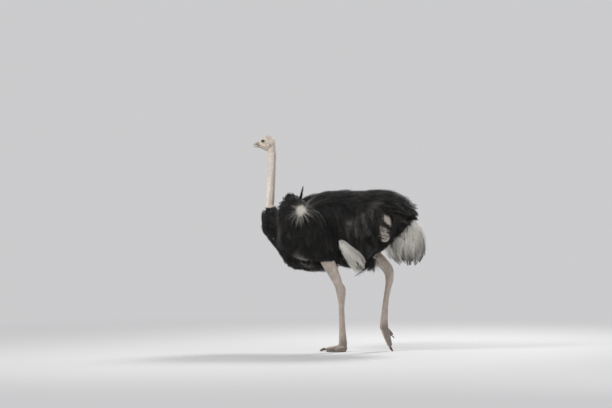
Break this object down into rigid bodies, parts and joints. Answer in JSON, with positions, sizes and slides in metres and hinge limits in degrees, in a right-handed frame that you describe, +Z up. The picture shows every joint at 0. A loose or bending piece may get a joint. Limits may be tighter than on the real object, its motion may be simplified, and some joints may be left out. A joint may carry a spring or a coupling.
{
  "type": "ostrich",
  "caption": "Life-size still model of an adult male ostrich in mid stride, with loose black plumage, drooping wings, white tail and bare legs.",
  "frame": {"origin": "on the floor, under the middle of the whole bird's box", "axes": "+Z up; the bird walks and faces towards -X, its tail is at +X, its left side is -Y"},
  "size_m": [1.6852, 0.7748, 2.1061],
  "materials": {
    "black_plumage": "soft, loose feathers with a faint sheen",
    "white_plume": "soft, loose white feathers",
    "bare_skin": "dry, finely wrinkled and scaled skin",
    "neck_down": "skin under short, velvety down",
    "bill_horn": "dull horn",
    "claw_horn": "worn horn",
    "eye": "wet and glossy"
  },
  "bodies": {
    "root": {"trunk": "black_plumage", "tail": "white_plume", "head": "neck_down", "neck": "neck_down", "bill_upper": "bill_horn", "bill_lower": "bill_horn", "eye_left": "eye", "eye_right": "eye", "wing_left": "black_plumage", "wing_right": "black_plumage", "raised_feather": "black_plumage", "quills_left": "white_plume", "quills_right": "white_plume", "thigh_left": "bare_skin", "thigh_right": "bare_skin", "shank_left": "bare_skin", "shank_right": "bare_skin", "toe_middle_left": "bare_skin", "toe_middle_right": "bare_skin", "toe_outer_left": "bare_skin", "toe_outer_right": "bare_skin", "claw_middle_left": "claw_horn", "claw_middle_right": "claw_horn", "claw_outer_left": "claw_horn", "claw_outer_right": "claw_horn"}
  },
  "joints": []
}
